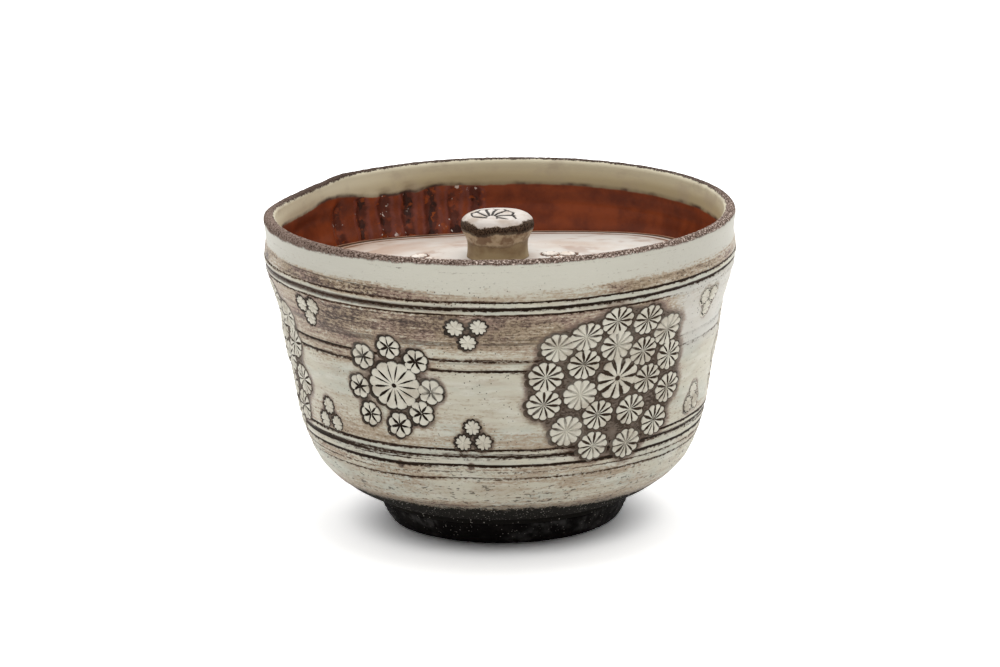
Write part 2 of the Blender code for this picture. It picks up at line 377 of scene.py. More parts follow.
def layStamps():
    # list of (die, angle round the pot, height, turn of the die, size, how faint)
    draw = np.random.default_rng(stamps["seed"])
    laid = []

    def press(die, angle, along, height, faint=None):
        along += draw.normal(0, stamps["shake"])
        turn = dies[die]["turn"] + draw.normal(0, stamps["turnShake"])
        faint = draw.uniform(0, stamps["faintest"]) if faint is None else faint
        height += draw.normal(0, stamps["shake"])
        size = draw.uniform(*stamps["sizes"])
        laid.append((die, angle + along / stamps["wallRadius"], height, turn, size, faint))

    for turn in stamps["repeats"]:
        angle = stamps["clusterAngle"] + turn
        press("openFlower", angle, 0, stamps["clusterHeight"], 0)
        for along, up, faint in stamps["cluster"]:
            press("chrysanthemum", angle, along, stamps["clusterHeight"] + up, faint)
        angle = stamps["rosetteAngle"] + turn
        press("wheelFlower", angle, 0, stamps["rosetteHeight"], 0)
        for along, up, faint in stamps["rosette"]:
            press("smallFlower", angle, along, stamps["rosetteHeight"] + up, faint)
    for angle, height, point, gap in stamps["plums"]:
        press("plum", radians(angle), 0, height + point * gap)
        press("plum", radians(angle), -gap, height - point * gap * 0.5)
        press("plum", radians(angle), gap, height - point * gap * 0.5)
    return laid


laidStamps = layStamps()
print(f"{len(laidStamps)} stamps laid out")


# Bowl: sizes in mm, with the lid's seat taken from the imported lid

bowl = {
    "outline": [(27.0, 4.9), (27.3, 5.4), (27.3, 5.8), (29.0, 6.5), (34.6, 9.6), (39.0, 13.6),
                (41.9, 19.5), (43.5, 25.3), (44.5, 32.0), (46.0, 39.5), (47.1, 46.8), (48.8, 52.6),
                (50.0, 57.6), (49.5, 62.3), (49.9, 65.6)],
    "wall": 3.1,
    "rimThickness": 2.6,
    "floor": 4.5,
    "bearing": 2.6,               # how far the ledge reaches under the lid
    "ledge": 2.0,
    "columns": 464,
    "seatGap": 0.3,               # between the lid and its ledge, as packed
    "band": (20.2, 58.6),         # heights between which the stamps are
    "bandRow": 0.62,              # row spacing there
    "rowGap": 0.07,               # rows closer than this are dropped
    "recess": 0.22,               # how far a stamp presses the clay in
    "wobble": 0.10,               # out of round
    "rise": 0.16,                 # up and down
    "grit": 0.035,                # on the bare rim
    "rampTop": 67,                # colour ramps up the wall run from 0 to this height
}

# Cut lines round the wall: height, depth, half width and how dark, in mm
cutLines = [
    (58.4, 0.34, 0.44, 1.1), (56.9, 0.50, 0.66, 1.3), (55.6, 0.28, 0.36, 1.0),
    (45.4, 0.12, 0.46, 1.0), (43.1, 0.16, 0.55, 1.1),
    (25.6, 0.30, 0.48, 1.1), (24.1, 0.25, 1.0, 0.95), (22.1, 0.34, 0.56, 1.25), (20.6, 0.06, 0.40, 0.6),
    (19.1, 0.06, 0.55, 0.65),
]
# The low ones sag on the left: between these places across, below this height, by so much per mm
sag = {"across": (-22, -8), "below": 27.5, "slope": 0.13, "most": 0.8}
# Where the tool slipped at the end of the lowest deep line
nicks = {"angles": (radians(-99.2), radians(-120.3)), "height": 21.9, "halfWidth": 1.1, "halfHeight": 1.3}
# Slip stays whole on the ridges between these lines
paleRidges = [(55.6, 58.4), (22.1, 25.6)]

lip = {
    "angle": radians(123),
    "spread": radians(22),
    "shoulderAngle": radians(33),
    "depth": 9.0,                 # how far down from the crest the pull is felt
    "pull": 0.8,
    "pinchLeft": 1.3,
    "pinchRight": 0.3,
    "dip": 0.3,
    "stepDrop": 0.6,              # past the lip the rim drops a step, between these angles
    "stepFrom": (radians(138) - 0.08, radians(138) + 0.10),
    "stepTo": (radians(178) - 0.15, radians(178) + 0.15),
}

strainer = {
    # raked by hand, unevenly
    "places": [radians(a) for a in (96.4, 102.5, 109, 115.8, 122.8, 130.4, 139)],
    "calmFrom": radians(132),     # less clay is torn past this angle
    "radius": 46,
    "width": [2.2, 2.3, 2.6, 2.4, 2.6, 2.2, 2.6],
    "depth": 0.9,
    "top": [61.6, 62.2, 62.0, 62.4, 62, 62.4, 61.6],
    "bottom": 50.2,
    "burr": 0.35,                 # clay torn up beside the grooves
    "tears": 24,                  # waves that add up to the torn clay, and how fine they are
    "tearFineness": 1.4,
    "seed": 51,
}

# Lower edge of the pale band inside, poured unevenly: degrees and how far below its mean, in mm
pouredEdge = [(80, 0.3), (100, 0.2), (106, 0), (113, 0.9), (121, 1.1), (131, 0), (138, -0.9), (143, -1.2),
              (155, 0)]


def bowlProfile():
    # rows from under the base, up the outside, over the rim and down to the floor inside
    outline = curveThrough(bowl["outline"])
    collar = smooth(58, 65, outline[:, 1])
    thickness = bowl["wall"] + (bowl["rimThickness"] - bowl["wall"]) * collar
    inner = outline - outward(outline) * thickness[:, None]

    # rows lie closest at the heel, in the band of stamps and in the cut lines
    base = bowl["outline"][0][1]
    top = bowl["outline"][-1][1]
    low, high = bowl["band"]
    heights = [np.arange(base, 6.6, 0.2), np.linspace(6.8, low, 17), np.arange(low, high, bowl["bandRow"]),
               np.linspace(high, top, 10)]
    for height, depth, width, dark in cutLines:
        heights.append(height + width * np.array([-1.2, -0.6, 0, 0.6, 1.2]))
    heights = np.unique(np.round(np.concatenate(heights), 2))
    heights = heights[np.concatenate([[True], np.diff(heights) > bowl["rowGap"]])]
    outside = np.stack([np.interp(heights, outline[:, 1], outline[:, 0]), heights], 1)

    under = np.array([(r, base) for r in (0, 6, 12, 18, 22.5)])
    start, end = outside[-1], inner[-1]
    centre = (start + end) / 2
    half = start - centre
    over = np.array([-half[1], half[0]])
    rim = np.array([centre + half * cos(a) + over * sin(a) for a in np.linspace(0, pi, 13)[1:-1]])

    lidLow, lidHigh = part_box("lid")
    seat = lidLow[2] / mm - bowl["seatGap"]
    ledgeRadius = lidHigh[0] / mm - bowl["bearing"]

    def insideAt(z):
        return np.interp(z, inner[:, 1], inner[:, 0])

    down = np.linspace(end[1], seat, 26)[:-1]
    upperInside = np.stack([insideAt(down), down], 1)
    ledgeLow = seat - bowl["ledge"]
    underLedge = ledgeLow - (insideAt(seat) - ledgeRadius)
    ledge = np.array([(insideAt(seat) - 0.2, seat + 0.15), (insideAt(seat) - 0.8, seat),
                      (ledgeRadius + 0.3, seat), (ledgeRadius, seat - 0.3), (ledgeRadius, ledgeLow),
                      (insideAt(underLedge), underLedge)])
    floorTop = base + bowl["floor"]
    down = np.linspace(underLedge, floorTop + 3, 14)[1:]
    lowerInside = np.stack([insideAt(down), down], 1)
    corner = insideAt(floorTop + 3)
    floor = np.array([(corner - 2.0, floorTop + 1.1), (corner - 5, floorTop + 0.3), (corner - 9, floorTop),
                      (14, floorTop), (7, floorTop), (0, floorTop)])
    rows = np.vstack([under, outside, rim, upperInside, ledge, lowerInside, floor])
    crest = len(under) + len(outside) + len(rim) // 2
    starts = np.cumsum([0, len(under), len(outside), len(rim), len(upperInside)])
    return rows, crest, starts


def pressClay(theta, z):
    # a shallow hollow under each stamp, and dark ground that builds up between close stamps
    hollow = np.zeros_like(z)
    ground = np.zeros_like(z)
    for die, angle, up, turn, size, faint in laidStamps:
        reach = dies[die]["radius"] * size
        side = fromAngle(theta, angle) * stamps["wallRadius"] / dies[die]["rolled"]
        near = np.hypot(side, z - up)
        hollow = np.maximum(hollow, 1 - smooth(reach * 0.75, reach + 0.6, near))
        ground += 1 - smooth(reach, reach + dies[die]["smear"], near)
        if die == "openFlower":   # the whole cluster round it was dabbed dark
            wide = np.hypot((side - 3) / 13, (z - up) / 15)
            ground += 0.8 * (1 - smooth(0.6, 1.0, wide))
    return hollow, ground


def rakeGrooves(theta, z):
    # straining grooves under the lip, with torn clay between them
    torn = np.zeros_like(z)
    draw = np.random.default_rng(strainer["seed"])
    for _ in range(strainer["tears"]):
        sideways, upward = draw.normal(0, strainer["tearFineness"], 2)
        torn += np.cos(sideways * theta * strainer["radius"] + upward * z + draw.uniform(0, 2 * pi)) / 7
    groove = np.zeros_like(z)
    strained = np.zeros_like(z)
    for place, width, top in zip(strainer["places"], strainer["width"], strainer["top"]):
        side = fromAngle(theta, place) * strainer["radius"] + 0.1 * np.sin(z * 0.7 + place * 30) + 0.12 * torn
        length = smooth(strainer["bottom"] - 0.8, strainer["bottom"] + 0.8, z)
        length = length * (1 - smooth(top - 1.6, top + 0.6, z + 0.4 * torn))
        groove = np.maximum(groove, bump(side, width) * length)
        share = 1 if place < strainer["calmFrom"] else 0.5
        strained = np.maximum(strained, bump(side, 1.5 * width) * length * share)
    rough = smooth(0.02, 0.3, groove) * np.clip(torn, 0, 1) * (1 - 0.5 * groove)
    return groove, strained, strainer["burr"] * rough - strainer["depth"] * groove


def pullLip(theta, radius, height, crestHeight):
    # drawn out in the middle, pinched in beside it, dipped a little
    weight = smooth(crestHeight - lip["depth"], crestHeight, height)
    angle = fromAngle(theta, lip["angle"])
    middle = bump(angle, lip["spread"])
    pinch = lip["pinchLeft"] * bump(angle - lip["shoulderAngle"], lip["spread"])
    pinch = pinch + lip["pinchRight"] * bump(angle + lip["shoulderAngle"], lip["spread"])
    step = smooth(*lip["stepFrom"], theta) * (1 - smooth(*lip["stepTo"], theta))
    radius = radius + weight * (lip["pull"] * middle - pinch)
    return radius, height - weight * lip["dip"] * middle - weight * lip["stepDrop"] * step


def shapeBowl(material):
    rows, crest, starts = bowlProfile()
    theta, radius, height = spin(rows, bowl["columns"])
    outside = slice(starts[1], starts[2])
    inside = slice(starts[3], starts[4])
    hollow, ground, groove, strained, push = [np.zeros_like(radius) for _ in range(5)]

    # distance from the crest along the profile: negative outside, positive inside
    run = np.concatenate([[0], np.cumsum(np.linalg.norm(np.diff(rows, axis=0), axis=1))])
    across = np.repeat((run - run[crest])[:, None], len(theta), axis=1)
    level = height.copy()
    level[starts[2]:] = 99        # no lines past the rim
    sagged = np.clip((sag["below"] - height) * sag["slope"], 0, sag["most"])
    sagged = sagged * (1 - smooth(*sag["across"], radius * np.cos(theta)))
    level[outside] += sagged[outside]

    # stamps, and cut lines uneven in depth
    z = height[outside]
    hollow[outside], ground[outside] = pressClay(theta, z)
    for k, (place, depth, width, dark) in enumerate(cutLines):
        shape = np.exp(-((level[outside] - place) / (0.7 * width)) ** 2)
        weight = 0.75 + 0.4 * wander(theta, 40 + k, (1, 2, 5, 9, 17, 31))
        push[outside] -= depth * shape * weight * (1 - 0.85 * hollow[outside])
    push[outside] -= bowl["recess"] * hollow[outside]
    for angle in nicks["angles"]:
        side = fromAngle(theta, angle) * stamps["wallRadius"]
        up = level[outside] - nicks["height"]
        ground[outside] += 3 * bump(side, nicks["halfWidth"]) * bump(up, nicks["halfHeight"])

    # throwing rings left by the fingers, and the straining grooves
    ring = np.sin(z * 2.3 + wander(theta, 3)) * 0.035 + np.sin(z * 4.1 + 2 * wander(theta, 4)) * 0.02
    push[outside] += ring * smooth(5, 12, z) * (1 - smooth(64, 66, z))
    z = height[inside]
    groove[inside], strained[inside], raked = rakeGrooves(theta, z)
    push[inside] += 0.05 * np.sin(z * 1.7 + wander(theta, 6)) + raked
    normal = outward(rows)
    radius = radius + push * normal[:, :1]
    height = height + push * normal[:, 1:]
    radius, height = pullLip(theta, radius, height, rows[crest, 1])

    # the whole pot is a hair out of round, and rises and falls a little from foot to rim
    loose = smooth(6, 20, height)
    radius = radius + bowl["wobble"] * loose * wander(theta, 11, (2, 3)) * np.sign(radius)
    height = height + bowl["rise"] * loose * wander(theta, 12, (1, 2, 3)) * (1 - smooth(60, 66, height))

    # the unglazed rim is gritty, and reaches further down on the left and further in at the back of the lip
    grit = np.random.default_rng(21).normal(0, bowl["grit"], radius.shape)
    height = height + grit * (1 - smooth(0.9, 1.7, np.abs(across)))
    wide = np.where(across < 0, 0.36 * bump(fromAngle(theta, radians(205)), radians(60)),
                    0.32 * bump(fromAngle(theta, radians(150)), radians(50)))
    angles, drops = np.array(pouredEdge).T
    poured = across - np.interp(theta, np.radians(angles), drops, left=drops[0], right=drops[-1])
    marks = {"across": across, "bareward": across * (1 - wide), "poured": poured, "level": level,
             "pressed": hollow, "ground": ground, "groove": groove, "strained": strained}
    return revolve("bowl_body", radius, height, marks, material)


# Glazes and clay of the bowl

glaze = tones(
    # the second colour on the next line is painted shade for the collar's left and right sides
    collar=(201, 198, 184), collarSide=(190, 187, 175),
    # the last colour on the next line is a painted highlight, a cooler white for the washed-out upper right
    pale=(195, 190, 172), bright=(206, 203, 190), cool=(186, 186, 172), thick=(196, 192, 186),
    # slip rubbed thin over brown clay
    thin=(169, 153, 132), flush=(138, 115, 101), ochre=(142, 124, 100), brown=(94, 76, 66), dark=(52, 41, 32),
    ground=(108, 97, 87), line=(30, 21, 12), lineThin=(70, 50, 38),
    # the first colour on the next line greys the glaze just above the bare clay
    smoke=(74, 69, 62), bareClay=(31, 29, 26), dust=(205, 200, 190),
    # the last colour on the next line is bright grit on the bare rim, partly painted glints
    rim=(124, 106, 96), rimDark=(64, 51, 44), rimGrain=(214, 198, 186),
    insideRim=(218, 210, 185), insidePale=(180, 165, 131), insideLine=(56, 27, 26),
    rust=(136, 62, 28), rustDark=(104, 44, 20), ridge=(120, 66, 56), groove=(80, 34, 19),
    grooveDark=(46, 19, 11), ember=(158, 76, 28), glint=(238, 224, 214),
)

# How far the slip is worn at heights up the wall, in mm
wornAt = [
    (12, 0.42), (14, 0.12), (17, 0.12), (19, 0.32), (21.5, 0.22), (26, 0.30), (29, 0.20), (32, 0.09),
    (40, 0.07), (43.5, 0.24), (46, 0.34), (49, 0.60), (53, 0.68), (55.5, 0.66), (57.5, 0.50), (58.8, 0.26),
    (60.5, 0.10), (62, 0.0),
]


def upTheWall(f, stops, height):
    # colours at heights in mm, read at the height given
    stops = [(up / bowl["rampTop"], colour) for up, colour in stops]
    return f.node("ShaderNodeValToRGB", {"stops": stops}, {0: height / bowl["rampTop"]})


def drawnLines(f):
    # cut lines and the pale ridges between them, as two channels up the wall
    darkest = max(dark for place, depth, width, dark in cutLines)
    stops = []
    for place, depth, width, dark in sorted(cutLines):
        for up, shade in ((place - width, 0), (place, dark / darkest), (place + width, 0)):
            ridge = any(low < up < high for low, high in paleRidges)
            stops.append((up, (shade, float(ridge), 0, 1)))
    level = f.mark("level") + f.noise(60, 20, 2).stray(0.5)
    drawn = upTheWall(f, stops, level + f.ragged.stray(0.35) + f.brush.stray(0.3))
    line, ridge = [f.node("ShaderNodeSeparateColor", None, {0: drawn}, k) for k in range(2)]
    # at the left the middle line of the upper three is broad and the one above it thin
    level = level + f.brush.stray(0.4)
    broad = f.between((56.0, 56.5), (57.3, 57.8), level) * f.left
    line = line * (1 - f.left * 0.35 * f.fade(57.7, 58.0, level)) * (1 - broad * 0.35)
    # the lines are painted fainter at the upper right, a painted highlight
    return line * (1 - f.thick * 0.55), ridge, level, broad


def wornSlip(f, ridge):
    # worn from foot to rim, broken up into patches, smears, scratches and dry-brush grain
    h = f.height
    zone = upTheWall(f, [(up, (worn, worn, worn, 1)) for up, worn in wornAt], h + f.patch.stray(6))
    chance = f.patch.stray(1.5) + f.smear.stray(1.6) + f.scratch.stray(1.8) + f.brush.stray(2.4)
    # rubbed more on the left, but not round the side
    zone = zone * (1.5 - 0.6 * f.fade(-36, 5, f.right) - 1.1 * (1 - f.fade(-46, -34, f.right)))
    ends = f.fade(8, 32, f.right) + (1 - f.fade(-34, -8, f.right)) * 1.35
    ends = ends * (0.5 + f.fade(0.35, 0.65, f.noise(70, 200, 2)))
    zone = zone + ends * f.fade(57.5, 59, h) * (1 - f.fade(60, 62, h + f.smear.stray(4))) * 0.38
    # a hairline scored above the lines at the left, rubbed below it
    score = h + f.right * 0.03 + f.brush.stray(0.3)
    scored = f.fade(-47, -42, f.right) * f.left
    zone = zone + scored * f.fade(57.8, 58.6, h) * (1 - f.fade(59.3, 59.8, score)) * 0.3
    # less wear shows at the upper right, a painted highlight
    wear = (zone + chance * (0.28 + zone * 0.75)) * (1 - ridge * 0.8) * (1 - f.thick * 0.75)
    return wear, scored * f.between((59.35, 59.5), (59.6, 59.75), score)


def wallGlaze(f):
    h = f.height
    line, ridge, level, broad = drawnLines(f)
    wear, hairline = wornSlip(f, ridge)
    clear = 1 - f.mark("pressed") * 0.9
    rubbed = f.mix(f.fade(0.42, 0.58, f.noise(60, 140, 2)), "flush", "ochre")
    # painted shade: the collar is darker towards the left and right sides
    sides = 1 - f.fade(-45, -15, f.right) + f.fade(15, 45, f.right)
    collar = f.mix(sides, "collar", "collarSide")
    pits = f.fade(0.57, 0.64, f.noise(1500, 1900, 2)) * f.fade(0.35, 0.7, wear)
    combed = f.fade(0.63, 0.68, f.noise(9, 800, 2)) * f.between((43, 46), (54, 56), h)

    # iron specks in the glaze, dragged out sideways low down
    speck = f.specks(1000, 0.2) * f.fade(0.42, 0.54, f.noise(140, 140, 2)) * (1 - f.fade(60, 63, h) * 0.8)
    dash = f.fade(0.62, 0.68, f.noise(700, 1800, 2) + f.noise(90, 220, 2).stray(0.3))
    dash = dash * (1 - f.fade(18, 28, h)) * 0.85

    # dark clay between the stamps and in the cut lines, one of them scored several times
    ground = f.mark("ground") + f.ragged.stray(1.0) + f.brush.stray(0.7)
    stain = f.fade(0.95, 1.4, ground)
    strokes = 1 + f.between((23.0, 23.5), (24.7, 25.2), level) * 0.9
    drawn = line * clear + f.scratch.stray(strokes) + f.brush.stray(0.8)
    line = f.fade(0.16, 0.5, drawn)

    # bare black clay under the glaze line near the foot, with the glaze greying just above it
    edge = h + f.ragged.stray(2) + f.grain.stray(2.4) + f.brush.stray(2) + f.fade(0, 30, f.right) * 0.8
    bare = 1 - f.fade(10.7, 11.4, edge)
    dust = f.specks(1250, 0.22) * f.fade(0.36, 0.50, f.noise(260, 260, 3, 0.6))

    wall = f.coats(
        "pale",
        (f.fade(0.45, 0.62, f.noise(55, 150, 3)), "cool"),
        (f.fade(0.48, 0.66, f.noise(160, 600, 4, 0.6)) * 0.7, "bright"),
        # the upper right of the wall is painted paler and cooler here, a painted highlight
        (f.fade(0.46, 0.66, f.smear) * (1 - f.thick) * 0.4, "thin"),
        (f.fade(58.5, 61, h + f.patch.stray(5)), collar),
        (f.thick * 0.6, "thick"),
        (f.fade(0.12, 0.40, wear), "thin"),
        (f.fade(0.40, 0.68, wear), rubbed),
        (f.fade(0.68, 0.98, wear), "brown"),
        (f.fade(0.98, 1.35, wear), "dark"),
        ((pits * 0.75).most(hairline * 0.7).most(combed * clear * 0.55), "dark"),
        (speck.most(dash) * 0.85, "dark"),
        (f.fade(0.15, 0.7, ground) * 0.6, rubbed),
        (f.fade(0.5, 1.0, ground) * 0.75, "brown"),
        (stain * 0.9, f.mix(f.fade(0.36, 0.6, f.brush), "dark", "ground")),
        (broad * 0.9, f.mix(f.fade(0.4, 0.6, f.brush), "dark", "brown")),
        (line, f.mix(f.fade(0.3, 0.7, drawn), "lineThin", "line")),
        ((1 - f.fade(11.2, 12.8, edge)) * 0.5, "smoke"),
        (bare, f.mix(dust * 0.8, "bareClay", "dust")),
    )
    return wall, bare, (1 - line) * (1 - bare) * (1 - stain)


def insideGlaze(f):
    # pale band under the rim, then rust glaze, torn and glinting round the straining grooves
    strained = f.mark("strained")
    scar = f.fade(0.51, 0.58, f.noise(340, 280, 3) + (strained - 1) * 0.4)
    fleck = f.fade(0.60, 0.68, f.noise(520, 700, 2)) * f.fade(0.1, 0.5, strained)
    glint = f.fade(0.62, 0.67, f.noise(800, 700, 2)) * f.fade(0.2, 0.5, strained)
    glint = glint * f.fade(0.54, 0.58, f.noise(170, 170, 2))
    raked = f.mix(f.fade(0.48, 0.62, f.noise(330, 300, 3)), "groove", "rust")
    rust = f.coats(
        "rust",
        (f.fade(0.35, 0.7, f.noise(160, 160, 4, 0.6)), "rustDark"),
        (f.fade(0.15, 0.5, strained + f.ragged.stray(0.8)) * 0.75, "ridge"),
        (f.fade(0.2, 0.6, f.mark("groove") + f.ragged.stray(1.2)) * 0.8, raked),
        (scar * 0.85, "grooveDark"),
        (fleck * 0.8, "ember"),
        (glint * 0.9, "glint"),
    )
    calm = f.fade(-8, 18, f.right)
    band = f.mark("poured") + f.noise(60, 60, 3).stray(1 - calm * 0.5) + f.ragged.stray(0.8 - calm * 0.55)
    smudge = f.fade(0.42, 0.62, f.noise(120, 120, 3, 0.6))
    isRust = f.fade(6.0, 6.5, band)
    inside = f.coats(
        "insideRim",
        # painted light: the band stays paler at the left, where the inner wall gets little light
        (f.fade(0, 5, f.across) * (0.3 + 0.7 * f.fade(-42, -15, f.right)), "insidePale"),
        (f.fade(0.5, 0.7, f.noise(110, 160, 4, 0.6)) * 0.5, "thin"),
        (f.fade(5.2, 6.1, band) * (0.35 + smudge * 0.6), "insideLine"),
        (isRust, rust),
    )
    return inside, f.blend(isRust, 0.5, 0.3 - scar * 0.14), f.ragged * strained


def bareRim(f):
    reach = f.mark("bareward") + f.ragged.stray(0.9) + f.grain.stray(0.7)
    # bright grit, partly painted glints, dimmed towards the left as painted shade
    lit = 0.1 + f.fade(-38, -6, f.right) * 0.9
    clay = f.coats(
        "rimDark",
        (f.fade(0.38, 0.54, f.grain), "rim"),
        (f.fade(0.57, 0.66, f.grain) * lit, "rimGrain"),
        (f.fade(-5, 24, f.back) * 0.8, "rimDark"),
    )
    return f.between((-1.6, -1.25), (0.85, 1.15), reach), clay


def bowlFinish():
    f = Finish("glazed stoneware", glaze)
    f.scratch = f.noise(40, 2300, 3, 0.65)
    f.smear = f.noise(90, 520, 3, 0.6)
    f.patch = f.noise(32, 62, 3, 0.55)
    f.brush = f.noise(1100, 2500, 3, 0.65)
    f.grain = f.noise(2400, 2600, 2, 0.6)
    f.ragged = f.noise(420, 420, 4, 0.6)
    f.across = f.mark("across")
    f.left = 1 - f.fade(-34, 0, f.right)
    f.thick = f.fade(30, 39, f.right) * f.between((40, 44), (56, 58), f.height)     # painted highlight where light washes out the upper right of the wall
    wall, bareHeel, wallGloss = wallGlaze(f)
    inside, insideRough, torn = insideGlaze(f)
    isRim, rim = bareRim(f)
    isInside = f.fade(-0.3, 0.3, f.across)
    colour = f.coats(wall, (isInside, inside), (isRim, rim))
    rough = f.blend(isRim.most(bareHeel), f.blend(isInside, 0.6, insideRough), 0.88)
    body = (f.brush * 0.7 + f.scratch * 0.5) * (1 - isInside) + torn * 3
    f.relief(body + isRim * f.grain * 1.4 + bareHeel * f.grain, 0.14)
    return f.paint(colour, rough, f.blend(isInside, wallGloss, 1.0) * (1 - isRim))


bowlBody = shapeBowl(bowlFinish())
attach(bowlBody, "bowl")
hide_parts("bowl")
print(f"bowl turned, {len(bowlBody.data.polygons)} faces")


# Flower dies: one scalloped, pillowed disc each, pressed onto the wall by geometry nodes

petal = {
    "rise": 0.36,                 # petal top above the pressed hollow
    "slitDepth": 0.14,            # less than the petals' own height, so slits stay above the clay
    "sunk": 0.35,                 # skirt below the surface
    "rings": [0.10, 0.20, 0.34, 0.50, 0.66, 0.80, 0.90, 0.965, 1.0],
    "cells": [-0.5, -0.42, -0.34, -0.18, 0.0, 0.18, 0.34, 0.42],     # across one petal, from slit to slit
    "moat": 0.50,                 # dark line of bare clay round the mark
    "moatLift": 0.05,
    "seed": 90,
}
# The ray that finds the clay: its reach and where it starts, in metres
ray = {"length": 0.1, "besideWall": 0.08, "aboveLid": 0.1}


def dieMesh(name):
    # cut by hand, so no two petals or slits are quite alike
    die = dies[name]
    count = die["petals"]
    draw = np.random.default_rng(petal["seed"] + dieNames.index(name))
    step = 2 * pi / count
    bounds = (np.arange(count) - 0.5 + draw.uniform(-0.1, 0.1, count)) * step
    bounds = np.append(bounds, bounds[0] + 2 * pi)
    strength = draw.uniform(0.6, 1.3, count)
    strength = np.append(strength, strength[0])
    long = draw.uniform(0.94, 1.05, count)
    cells = np.tile(petal["cells"], count)
    which = np.repeat(np.arange(count), len(petal["cells"]))
    angle = bounds[which] + (cells + 0.5) * (bounds[which + 1] - bounds[which])
    lobe = np.sqrt(np.clip(1 - (1.96 * cells) ** 2, 0, 1)) * long[which]
    outline = die["radius"] * (1 - die["scallop"] * (1 - lobe) - die["notch"] * (cells == 0))
    rings = np.array(petal["rings"])[:, None]

    # how wide a slit is here, and how far it is to the nearest one, both in its own half widths
    root, widest, tip, half = die["slit"]
    lens = np.clip((rings - root) / (tip - root), 0, 1) ** (np.log(0.5) / np.log(widest))
    lens = 4 * lens * (1 - lens) + 0 * cells
    toSlit = rings * outline * np.sin((0.5 - np.abs(cells)) * step) / (half * strength[which + (cells > 0)])
    slit = np.maximum(smooth(-0.3, 0.3, lens - toSlit - 0.1), rings < die["eye"])
    pillow = 0.5 + 0.5 * np.cos(pi * cells) ** 0.7 * smooth(0, 0.5, rings)
    edge = np.sqrt(np.clip(1 - rings ** 7, 0, 1))
    top = petal["rise"] * die["proud"] * pillow * edge - petal["slitDepth"] * slit

    # outside the petals: a dark line on the clay, then a skirt that goes under
    moat = outline + petal["moat"] * np.clip(1 + 0.6 * wander(angle, 95, (1, 2, 3, 5, 8)), 0.2, 2)
    reach = np.vstack([rings * outline, outline + 0.06, moat, moat + 0.03])
    skirt = np.ones((3, len(cells)))
    lift = np.vstack([top, skirt * [[petal["moatLift"]], [petal["moatLift"]], [-petal["sunk"]]]])
    points = np.stack([reach * np.cos(angle) * die["rolled"], reach * np.sin(angle), lift], -1)
    hub = petal["rise"] * die["proud"] * 0.5 - (petal["slitDepth"] if die["eye"] > 0 else 0)
    points = np.vstack([points.reshape(-1, 3), (0, 0, hub), (0, 0, -petal["sunk"])]) * mm
    index = np.arange(reach.size).reshape(reach.shape)
    beside = np.roll(index, -1, axis=1)
    faces = np.stack([index[:-1], index[1:], beside[1:], beside[:-1]], -1).reshape(-1, 4).tolist()
    faces += fan(reach.size, index[0]) + fan(reach.size + 1, index[-1][::-1])
    mesh = bpy.data.meshes.new(f"die {name}")
    mesh.from_pydata(points.tolist(), [], faces)
    marks = {                     # petal rows, skirt rows, hub and underside
        "lens": (lens, 0 * skirt, 0, 0),
        "toSlit": (toSlit, 9 * skirt, 0, 9),
        "toEye": (rings - die["eye"] + 0 * cells, skirt, -die["eye"], 1),
        "rimward": (rings + 0 * cells, skirt * [[1.05], [1.35], [1.35]], 0, 1.35),
    }
    addMarks(mesh, {key: np.concatenate([petals.ravel(), below.ravel(), ends])
                    for key, (petals, below, *ends) in marks.items()})
    mesh.shade_smooth()
    return addObject(f"die {name}", mesh)


class Steps(Graph):
    # a geometry nodes tree with named inputs
    def __init__(self, name):
        super().__init__(bpy.data.node_groups.new(name, "GeometryNodeTree"))
        self.tree.interface.new_socket("Geometry", in_out="INPUT", socket_type="NodeSocketGeometry")
        self.tree.interface.new_socket("Geometry", in_out="OUTPUT", socket_type="NodeSocketGeometry")
        self.ids = {}

    def input(self, name, kind):
        self.ids[name] = self.tree.interface.new_socket(name, in_out="INPUT", socket_type=kind).identifier

    def begin(self):
        self.source = self.tree.nodes.new("NodeGroupInput")

    def given(self, name):
        return Sock(self, self.source.outputs[name])

    def attribute(self, name, kind):
        return self.node("GeometryNodeInputNamedAttribute", {"data_type": kind}, {"Name": name})

    def vector(self, x=0, y=0, z=0):
        return self.node("ShaderNodeCombineXYZ", None, {0: x, 1: y, 2: z})

    def scaled(self, vector, by):
        return self.node("ShaderNodeVectorMath", {"operation": "SCALE"}, {0: vector, "Scale": by})

    def added(self, a, b):
        return self.node("ShaderNodeVectorMath", {"operation": "ADD"}, {0: a, 1: b})


